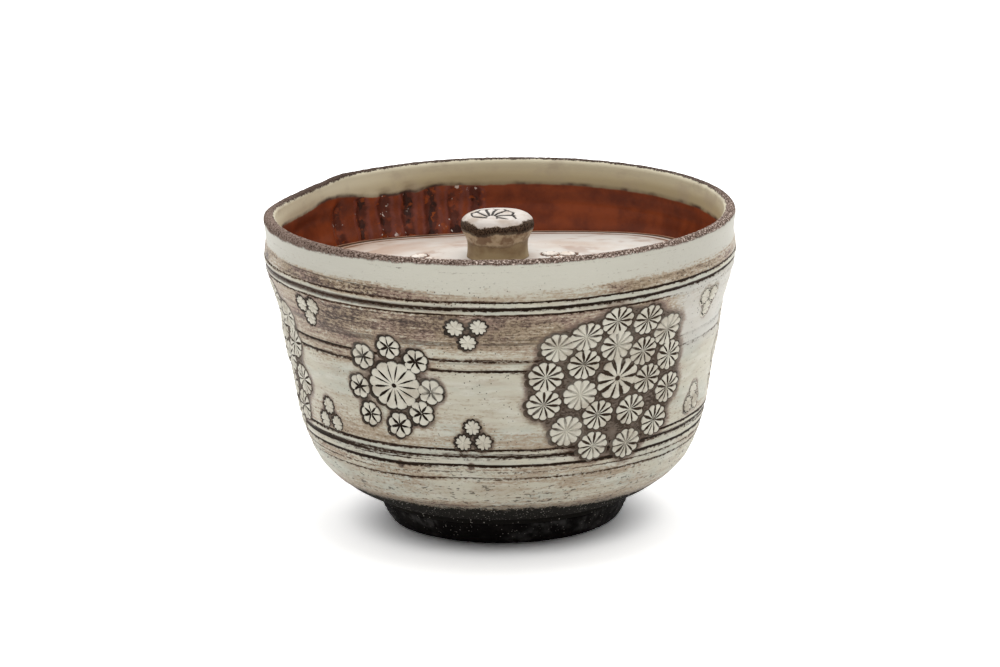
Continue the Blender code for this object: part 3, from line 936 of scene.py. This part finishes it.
def pressTree(name, dieObjects, wrap):
    # instances of the dies on laid-out points, realized and then wrapped onto the clay
    g = Steps(name)
    g.input("Clay", "NodeSocketObject")
    g.input("Wall radius", "NodeSocketFloat")
    g.input("Slip", "NodeSocketMaterial")
    g.begin()
    turn = g.node("FunctionNodeEulerToRotation", None, {0: g.vector(z=g.attribute("turn", "FLOAT"))})
    joined = g.tree.nodes.new("GeometryNodeJoinGeometry")
    for k, die in enumerate(dieObjects):
        picked = g.node("FunctionNodeCompare", {"data_type": "INT", "operation": "EQUAL"},
                        {"A": g.attribute("die", "INT"), "B": k})
        shape = g.node("GeometryNodeObjectInfo", None, {"Object": die}, "Geometry")
        pressed = g.node("GeometryNodeInstanceOnPoints", None, {
            "Points": g.given("Geometry"), "Selection": picked, "Instance": shape,
            "Rotation": turn, "Scale": g.attribute("size", "FLOAT")})
        g.tree.links.new(pressed.out, joined.inputs[0])
    real = g.node("GeometryNodeRealizeInstances", None, {0: Sock(g, joined.outputs[0])})
    clay = g.node("GeometryNodeObjectInfo", None, {"Object": g.given("Clay")}, "Geometry")
    x, y, z = g.split(g.node("GeometryNodeInputPosition"))
    start, aim, out = wrap(g, x, y)
    hit = g.node("GeometryNodeRaycast", None, {
        "Target Geometry": clay, "Source Position": start, "Ray Direction": aim,
        "Ray Length": ray["length"]}, "Hit Position")
    place = g.added(hit, g.scaled(out, z))
    moved = g.node("GeometryNodeSetPosition", None, {"Geometry": real, "Position": place})
    done = g.node("GeometryNodeSetMaterial", None, {"Geometry": moved, "Material": g.given("Slip")})
    end = g.tree.nodes.new("NodeGroupOutput")
    g.tree.links.new(done.out, end.inputs[0])
    return g


def roundWall(g, x, y):
    # along the unrolled wall becomes an angle, up stays up, and the ray comes in from outside
    angle = x / g.given("Wall radius")
    cosine, sine = [g.node("ShaderNodeMath", {"operation": kind}, {0: angle}) for kind in ("COSINE", "SINE")]
    out = g.vector(cosine, sine)
    return g.added(g.scaled(out, ray["besideWall"]), g.vector(z=y)), g.scaled(out, -1), out


def downOnLid(g, x, y):
    return g.vector(x, y, ray["aboveLid"]), (0, 0, -1), (0, 0, 1)


def pressStamps(name, laid, tree, clay, material):
    # points that carry die, turn, size and faintness, put through the tree and kept as a plain mesh
    mesh = bpy.data.meshes.new(name)
    mesh.from_pydata([(row[1] * mm, row[2] * mm, 0) for row in laid], [], [])
    columns = {"die": ("INT", [dieNames.index(row[0]) for row in laid])}
    for k, key in enumerate(("turn", "size", "faint")):
        columns[key] = ("FLOAT", [row[3 + k] for row in laid])
    for key, (kind, values) in columns.items():
        mesh.attributes.new(key, kind, "POINT").data.foreach_set("value", values)
    piece = addObject(name, mesh)
    modifier = piece.modifiers.new("press", "NODES")
    modifier.node_group = tree.tree
    modifier[tree.ids["Clay"]] = clay
    modifier[tree.ids["Wall radius"]] = stamps["wallRadius"] * mm
    modifier[tree.ids["Slip"]] = material
    shown = piece.evaluated_get(bpy.context.evaluated_depsgraph_get())
    piece.data = bpy.data.meshes.new_from_object(shown)
    piece.modifiers.clear()
    piece.data.shade_smooth()
    return piece


slip = tones(white=(210, 205, 190), worn=(184, 175, 158), brown=(62, 48, 38), dark=(32, 22, 15))
clusterSlip = {**slip, **tones(brown=(88, 74, 63), dark=(58, 46, 36))}
lidSlip = tones(white=(222, 215, 206), worn=(204, 190, 176), brown=(140, 108, 88), dark=(74, 52, 40))


def slipFinish(name, colours):
    f = Finish(name, colours)
    grain = f.noise(2400, 2400, 2, 0.6)
    ragged = f.noise(520, 520, 3, 0.6)
    patch = f.noise(150, 260, 3)
    faint = f.fade(0.3, 0.8, f.mark("faint") + f.noise(170, 170, 2).stray(2.2) + ragged.stray(0.6))
    cut = f.mark("lens") - f.mark("toSlit") - 0.05 + ragged.stray(0.8) + grain.stray(0.6)
    eye = 1 - f.fade(-0.015, 0.01, f.mark("toEye") + grain.stray(0.04))
    slit = f.fade(-0.2, 0.15, cut).most(eye) * (1 - faint * 0.8)
    # dark line round the mark, thinner at the right where light washes it out: a painted highlight
    rimward = f.mark("rimward")
    edge = f.fade(0.95, 1.01, rimward + grain.stray(0.06)) * (1 - faint * 0.1)
    edge = edge * (1 - f.fade(35, 41, f.right) * f.fade(1.13, 1.24, rimward + ragged.stray(0.2)))
    moat = f.mix(f.fade(1.16, 1.35, rimward + ragged.stray(0.9)), "dark", "brown")
    colour = f.coats(
        "white",
        (f.fade(0.40, 0.72, patch + grain.stray(0.3)), "worn"),
        (slit, "dark"),
        (edge * 0.97, moat),
    )
    f.relief(grain, 0.08)
    return f.paint(colour, 0.6, 1 - slit.most(edge))


dieObjects = [dieMesh(name) for name in dieNames]
wallTree = pressTree("press on wall", dieObjects, roundWall)
wallFlowers = {
    "cluster_flowers": (("chrysanthemum", "openFlower"), clusterSlip),
    "rosette_flowers": (("wheelFlower", "smallFlower"), slip),
    "plum_flowers": (("plum",), slip),
}
for name, (kinds, colours) in wallFlowers.items():
    marks = [(row[0], row[1] * stamps["wallRadius"], *row[2:]) for row in laidStamps if row[0] in kinds]
    flowers = pressStamps(name, marks, wallTree, bowlBody, slipFinish(f"{name} slip", colours))
    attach(flowers, "bowl")
    print(f"{name} pressed, {len(flowers.data.polygons)} faces")


# Foot ring, in mm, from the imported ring's box

foot = {
    "columns": 320,
    "width": 5.5,
    "taper": 2.5,
    "rows": 9,
    "lap": 0.28,                  # up to the heel, over the joint
    "rough": 0.05,
}
footClay = tones(black=(15, 12, 11), worn=(34, 31, 29), scuffed=(92, 90, 88), grit=(200, 194, 184))


def shapeFoot(material):
    low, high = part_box("foot_ring")
    top, topRadius = high[2] / mm, high[0] / mm
    bottomRadius = topRadius - foot["taper"]
    innerRadius = bottomRadius - foot["width"]
    side = np.linspace(0, 1, foot["rows"])[1:]
    outer = np.stack([bottomRadius + 0.2 + (foot["taper"] - 0.5) * side, 0.5 + (top - 0.3) * side], 1)
    closed = top + foot["lap"]
    rows = np.vstack([[(innerRadius + 0.7, 0), (bottomRadius - 0.9, 0), (bottomRadius - 0.3, 0.12)], outer,
                      [(topRadius - 0.5, closed), (innerRadius + 0.4, closed), (innerRadius, top - 0.5),
                       (innerRadius, 0.6)]])
    theta, radius, height = spin(rows, foot["columns"])
    turned = np.random.default_rng(31).normal(0, foot["rough"], radius.shape)
    radius = radius + turned + 0.08 * np.sin(height * 5 + wander(theta, 32)) + 0.12 * wander(theta, 33)
    return revolve("foot", radius, height, {}, material, ring=True)


def footFinish():
    f = Finish("bare black clay", footClay)
    grain = f.noise(1700, 1700, 3, 0.6)
    grit = f.specks(1250, 0.2) * f.fade(0.38, 0.54, f.noise(260, 260, 3, 0.6)) * f.fade(0.8, 2.2, f.height)
    scuff = f.fade(0.50, 0.62, f.noise(80, 170, 3)) * f.fade(0.36, 0.62, f.noise(600, 260, 2))
    colour = f.coats(
        "black",
        (f.fade(0.42, 0.75, f.noise(240, 420, 3)), "worn"),
        (scuff * 0.55, "scuffed"),
        (grit * 0.75, "grit"),
    )
    f.relief(grain + grit * 0.6, 0.2)
    return f.paint(colour, 0.7 + grain * 0.2)


footRing = shapeFoot(footFinish())
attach(footRing, "bowl")
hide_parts("foot_ring")
print("foot ring turned")


# Lid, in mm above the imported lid's underside

lid = {
    "columns": 320,
    "edge": 4.4,                  # height of the top edge above the underside
    "middle": 7.5,                # height of the land under the knob
    "warp": 1.65,                 # dried saddle-shaped: low at the back and front
    "lean": 0.6,                  # and a little higher on the right
    "border": 3.6,                # flat border, with two lines cut in it
    "lines": [(1.35, 0.15, 0.70), (3.2, 0.10, 0.45)],      # in from the edge: distance, depth, half width
    "hollow": 3.3,                # depth of the underside
    "plums": [(12.4, -0.2, 1), (0.0, -17.0, -1), (-17.4, -0.8, -1)],     # triplets: middle and way they point
    "plumPlaces": [(-1.8, 0.9), (1.8, 0.9), (0, -3.5)],    # in each triplet
    "plumSize": 1.05,
    "plumFaint": 0.1,
    "seed": 71,
}
lidGlaze = tones(
    pale=(199, 194, 187), warm=(186, 172, 160), streak=(152, 122, 104), stain=(172, 146, 128),
    speck=(130, 100, 82), border=(160, 134, 115), edge=(150, 112, 88), line=(112, 78, 58),
    outerLine=(60, 38, 26),
)


def shapeLid(material):
    low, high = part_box("lid")
    edgeRadius, under = high[0] / mm, low[2] / mm
    edgeTop = under + lid["edge"]
    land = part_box("lid_knob")[1][0] / mm
    reach = [0, 3, 6, land]
    reach += list(np.linspace(land + 0.3, land + 2.4, 8))
    reach += list(np.linspace(land + 3, edgeRadius - lid["border"], 20))
    reach += list(np.arange(edgeRadius - lid["border"] + 0.15, edgeRadius - 0.35, 0.13))
    reach = np.array(reach)
    rimRows = np.array([(edgeRadius - 0.2, edgeTop - 0.08), (edgeRadius - 0.05, edgeTop - 0.3),
                        (edgeRadius, edgeTop - 1.1), (edgeRadius, under + 1.0),
                        (edgeRadius - 0.3, under + 0.3), (edgeRadius - 1, under)])
    hollow = edgeRadius - bowl["bearing"] - 1.2
    s = np.linspace(0, 1, 12)
    underRows = np.stack([hollow * (1 - s), under + lid["hollow"] * (1 - (1 - s) ** 2)], 1)
    rows = np.vstack([np.stack([reach, np.full(len(reach), edgeTop)], 1), rimRows, underRows])[::-1]
    theta, radius, height = spin(rows, lid["columns"])
    isTop = (np.arange(len(rows)) >= len(underRows) + 3)[:, None]

    # from the level land in the middle out to the warped edge, with the slope easing at both ends
    t = np.clip((radius - land) / (edgeRadius - lid["border"] - land), 0, 1)
    out = t - 0.35 * np.sin(2 * pi * t) / (2 * pi)
    warp = lid["warp"] * np.cos(2 * theta) + lid["lean"] * np.cos(theta) + 0.1 * wander(theta, 65, (3, 4, 7))
    height = height + isTop * ((lid["middle"] - lid["edge"]) * (1 - out) + warp * out)

    line = np.zeros_like(radius)
    for k, (inset, depth, width) in enumerate(lid["lines"]):
        shape = np.exp(-((radius - (edgeRadius - inset)) / width) ** 2) * isTop
        weight = 1.0 + 0.3 * wander(theta, 60 + k, (1, 2, 5, 9, 17))
        height = height - depth * shape * weight
        line = np.maximum(line, shape * np.clip(weight, 0, 1.2) * 0.9)
    rimward = np.clip(radius / edgeRadius, 0, 1) * isTop
    return revolve("lid_disc", radius, height, {"line": line, "rimward": rimward}, material)


def lidFinish():
    f = Finish("pale glazed lid", lidGlaze)
    patch = f.noise(55, 55, 4, 0.6)
    streak = f.noise(150, 150, 3, 0.6)
    grain = f.noise(1500, 1500, 2)
    rimward = f.mark("rimward")
    stained = (1 - f.fade(-32, -4, f.right)) * (0.5 + f.fade(0.4, 0.6, f.noise(90, 90, 3)))
    speck = f.specks(480, 0.15) * f.fade(0.55, 0.62, f.noise(120, 120, 2))
    flush = f.fade(0.80, 0.97, rimward + streak.stray(0.3)) * (1.3 - f.fade(-35, 15, f.right))
    line = f.fade(0.2, 0.6, f.mark("line") + streak.stray(0.6))
    colour = f.coats(
        "pale",
        (f.fade(0.42, 0.64, patch), "warm"),
        (f.fade(0.54, 0.72, streak) * 0.6, "streak"),
        (stained * 0.6, "stain"),
        (speck * 0.6, "speck"),
        (flush * 0.5, "border"),
        (f.fade(0.972, 0.98, rimward + grain.stray(0.01)), "edge"),
        (line * 0.95, f.mix(f.fade(0.93, 0.95, rimward), "line", "outerLine")),
    )
    f.relief(grain * 0.5 + streak, 0.08)
    return f.paint(colour, 0.55, 1 - line)


lidDisc = shapeLid(lidFinish())
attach(lidDisc, "lid")
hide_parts("lid")
draw = np.random.default_rng(lid["seed"])
lidStamps = []
for middle, front, point in lid["plums"]:
    for side, ahead in lid["plumPlaces"]:
        lidStamps.append(("plum", middle + side, front + point * ahead, draw.uniform(0, 2 * pi),
                          lid["plumSize"], lid["plumFaint"]))
lidFlowers = pressStamps("lid_flowers", lidStamps, pressTree("press on lid", dieObjects, downOnLid),
                         lidDisc, slipFinish("white slip on the lid", lidSlip))
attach(lidFlowers, "lid")
for die in dieObjects:
    bpy.data.objects.remove(die, do_unlink=True)
print("lid turned and stamped")


# Knob, in mm above its foot: turned, with a chrysanthemum pressed into its crown

knob = {
    "columns": 240,
    "side": [(6.65, -0.3), (6.5, 0.5), (6.45, 1.4), (6.45, 2.6), (6.6, 3.5), (7.1, 4.5), (7.6, 5.5),
             (7.82, 6.5), (7.6, 7.4), (6.9, 8.2), (5.8, 8.75)],
    "crown": 9.2,
    "petals": 12,
    "flower": 5.2,
    "flowerShift": (-1.1, -3.7),  # the die went in off centre
    "flowerStretch": 1.55,        # and slid back
    "cut": 0.32,
    "place": -0.6,                # the knob was luted on off centre too
    "band": (7.0, 0.9),           # bare rough band: height and half width
    "rough": 0.03,
}
knobGlaze = tones(
    top=(198, 190, 182), topWorn=(175, 161, 148), stem=(160, 142, 110), stemDark=(132, 111, 82),
    # the last colour on the next line is a painted shadow line round the knob's neck
    under=(196, 178, 150), underDark=(140, 116, 92), scar=(96, 76, 58),
    bare=(36, 26, 18), bareGrain=(90, 72, 58), edge=(40, 29, 21), slit=(42, 34, 27),
)


def shapeKnob(material):
    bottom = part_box("lid_knob")[0][2] / mm
    side = curveThrough(knob["side"], 5)
    edge = side[-1]
    t = np.linspace(0, 1, 36)[1:]
    crown = np.stack([edge[0] * (1 - t), edge[1] + (knob["crown"] - edge[1]) * (1 - (1 - t) ** 2)], 1)
    rows = np.vstack([[(0, 0), (3.5, 0)], side, crown])
    theta, radius, height = spin(rows, knob["columns"])
    onCrown = (np.arange(len(rows)) >= 2 + len(side))[:, None]

    # the flower's own polar coordinates, shifted off the knob's axis
    x = radius * np.cos(theta) - knob["flowerShift"][0]
    y = (radius * np.sin(theta) - knob["flowerShift"][1]) / knob["flowerStretch"]
    out = np.hypot(x, y)
    around = np.arctan2(y, x) + 0.06 * out
    turn = (around * knob["petals"] / (2 * pi)) % 1
    toSlit = np.minimum(turn, 1 - turn) / knob["petals"] * 2 * pi * np.maximum(out, 0.4)
    slit = (1 - smooth(0.12, 0.42, toSlit)) * smooth(0.5, 1.4, out)
    slit = slit * (1 - smooth(knob["flower"] - 0.6, knob["flower"] + 0.2, out))
    tip = knob["flower"] - 0.7 * np.abs(np.sin(around * knob["petals"] / 2 + pi / 2))
    slit = np.maximum(slit, np.exp(-((out - tip) / 0.28) ** 2))
    weight = np.clip(1.0 + 0.5 * wander(around - 2.6, 81, (1, 2, 3, 5, 9)), 0.15, 1)
    slit = slit * smooth(-0.9, -0.2, y) * onCrown * weight
    height = height - knob["cut"] * slit
    middle, width = knob["band"]
    rough = np.random.default_rng(82).normal(0, knob["rough"], radius.shape)
    rough = rough * np.exp(-((height - middle) / width) ** 2) * (1 - onCrown)
    wobble = 0.10 * wander(theta, 83, (2, 3, 5)) * smooth(0, 2, radius)
    radius = radius + (rough + wobble) * (radius > 0)
    height = height + 0.12 * wander(theta, 84, (1, 2, 3)) * smooth(5, 7, height) * smooth(0, 3, radius)
    marks = {"slit": slit, "rise": height}
    return revolve("knob", radius, height + bottom, marks, material, shift=knob["place"])


def knobFinish():
    f = Finish("glazed knob", knobGlaze)
    ragged = f.noise(330, 330, 4, 0.6)
    grain = f.noise(2000, 2000, 2)
    level = f.mark("rise") + ragged.stray(1.2) + f.noise(110, 110, 2).stray(2.4) + grain.stray(0.6)
    top = f.mix(f.fade(0.4, 0.7, f.noise(300, 300, 3)), "top", "topWorn")
    under = f.mix(f.fade(0.42, 0.60, ragged), "under", "underDark")
    bare = f.mix(f.fade(0.36, 0.62, f.noise(3200, 3200, 2)), "bare", "bareGrain")
    # the bare band hangs lower at the sides
    low = level - (1 - f.fade(9, 40, f.right * f.right)) * 0.45
    isTop = f.fade(7.6, 8.0, level)
    isBare = f.fade(5.8, 6.1, low) * (1 - isTop)
    slit = f.fade(0.25, 0.55, f.mark("slit") + ragged.stray(0.7))
    colour = f.coats(
        "stem",
        (f.fade(0.4, 0.7, f.noise(200, 260, 3)), "stemDark"),
        (f.fade(3.1, 3.6, level), under),
        # painted shadow line round the neck, as a groove would cast
        (f.between((2.9, 3.2), (3.3, 3.7), level) * 0.35, "scar"),
        (f.between((5.3, 5.7), (6.0, 6.5), low) * 0.8, "edge"),
        (isBare, bare),
        (isTop, top),
        (slit, "slit"),
    )
    f.relief(grain * (0.4 + isBare * 1.6), 0.14)
    return f.paint(colour, 0.6, 1 - isBare)


lidKnob = shapeKnob(knobFinish())
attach(lidKnob, "lid")
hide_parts("lid_knob")
print("knob turned")


# Plain floor and soft white light, like a light tent

studio = {
    "floorSize": 6.0,
    "floorWhite": 0.92,
    "shadowShapingGainNear": 1.95,            # the paper is overexposed to the eye, as in a light tent, most of all close to the foot: a painted shadow, lighter near the foot and longer further out
    "shadowShapingGainFar": 1.2,              # most of all close to the foot
    "near": 26.0,
    "far": 42.0,                  # distances from the axis, in mm
    "above": 2.45,                # a large soft box overhead, leaning back
    "lean": radians(19.5),
    "edge": (0.23, 0.53),         # soft edge, by height along the leaning axis
    "sides": 2.05,                # dimmer towards both sides
    "right": 0.13,                # but a little brighter on the right
}


def seenRays(g):
    # one for camera, reflection and transmission rays
    path = g.tree.nodes.new("ShaderNodeLightPath")
    camera, glossy, through = [Sock(g, path.outputs[f"Is {kind} Ray"])
                               for kind in ("Camera", "Glossy", "Transmission")]
    return camera.most(glossy).most(through)


def makeFloor():
    half = studio["floorSize"] / 2
    mesh = bpy.data.meshes.new("floor")
    corners = [(-half, -half, 0), (half, -half, 0), (half, half, 0), (-half, half, 0)]
    mesh.from_pydata(corners, [], [(0, 1, 2, 3)])
    floor = addObject("floor", mesh)
    f = Finish("white paper")
    white, near, far = [(studio[key],) * 3 + (1,) for key in ("floorWhite", "shadowShapingGainNear", "shadowShapingGainFar")]
    # painted shadow: the floor is brighter to the eye near the pot's axis than further out
    away = f.right * f.right + f.back * f.back
    bright = f.mix(f.fade(studio["near"] ** 2, studio["far"] ** 2, away), near, far)
    mesh.materials.append(f.paint(f.mix(seenRays(f), white, bright), 1.0))


def makeWorld():
    # a soft box in a white room, which is white to the eye and in reflections
    world = bpy.data.worlds.new("white room")
    scene.world = world
    world.use_nodes = True
    g = Graph(world.node_tree)
    g.tree.nodes.clear()
    x, y, z = g.split(g.node("ShaderNodeTexCoord", out="Generated"))
    up = y * sin(studio["lean"]) + z * cos(studio["lean"])
    box = g.node("ShaderNodeMapRange", {"interpolation_type": "SMOOTHSTEP"},
                 {"Value": up, "From Min": studio["edge"][0], "From Max": studio["edge"][1]})
    light = (box * studio["above"] + x * studio["right"] - x * x * studio["sides"]).most(0)
    strength = light + seenRays(g) * (1 - light)
    shade = g.node("ShaderNodeBackground", None, {"Color": (1, 1, 1, 1), "Strength": strength})
    end = g.tree.nodes.new("ShaderNodeOutputWorld")
    g.tree.links.new(shade.out, end.inputs["Surface"])


makeFloor()
makeWorld()
print("floor and light set")
